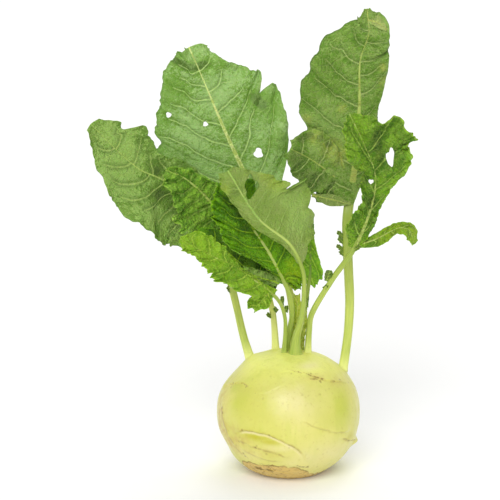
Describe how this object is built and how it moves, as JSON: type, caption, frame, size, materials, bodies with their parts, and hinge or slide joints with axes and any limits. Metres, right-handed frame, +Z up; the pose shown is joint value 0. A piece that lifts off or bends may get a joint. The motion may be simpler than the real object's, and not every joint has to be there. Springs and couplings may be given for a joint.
{
  "type": "kohlrabi",
  "caption": "Pale green kohlrabi bulb, as picked, with long stalks and waved leaves rising from its crown; it rests on the flat cut underneath.",
  "frame": {"origin": "middle of the flat cut under the bulb, on the surface it rests on", "axes": "+Z up through the bulb to the leaves, -Y towards the side that the leaves open to, +X to the right seen from there"},
  "size_m": [0.1963, 0.0867, 0.2818],
  "materials": {
    "bulb_skin": "satin",
    "stalk": "satin",
    "young_leaf": "satin",
    "blade_green": "satin",
    "blade_dark": "satin",
    "blade_bright": "satin",
    "blade_olive": "satin"
  },
  "bodies": {
    "root": {"bulb": "bulb_skin", "young_leaves": "young_leaf", "far_left_stalk": "stalk", "far_left_blade": "blade_olive", "back_left_stalk": "stalk", "back_left_blade": "blade_green", "inner_left_stalk": "stalk", "inner_left_blade": "blade_dark", "low_left_stalk": "stalk", "low_left_blade": "blade_bright", "centre_left_stalk": "stalk", "centre_left_blade": "blade_green", "front_stalk": "stalk", "front_blade": "blade_olive", "inner_right_stalk": "stalk", "inner_right_blade": "blade_green", "front_right_stalk": "stalk", "front_right_blade": "blade_bright", "back_right_stalk": "stalk", "back_right_blade": "blade_green"}
  },
  "joints": []
}
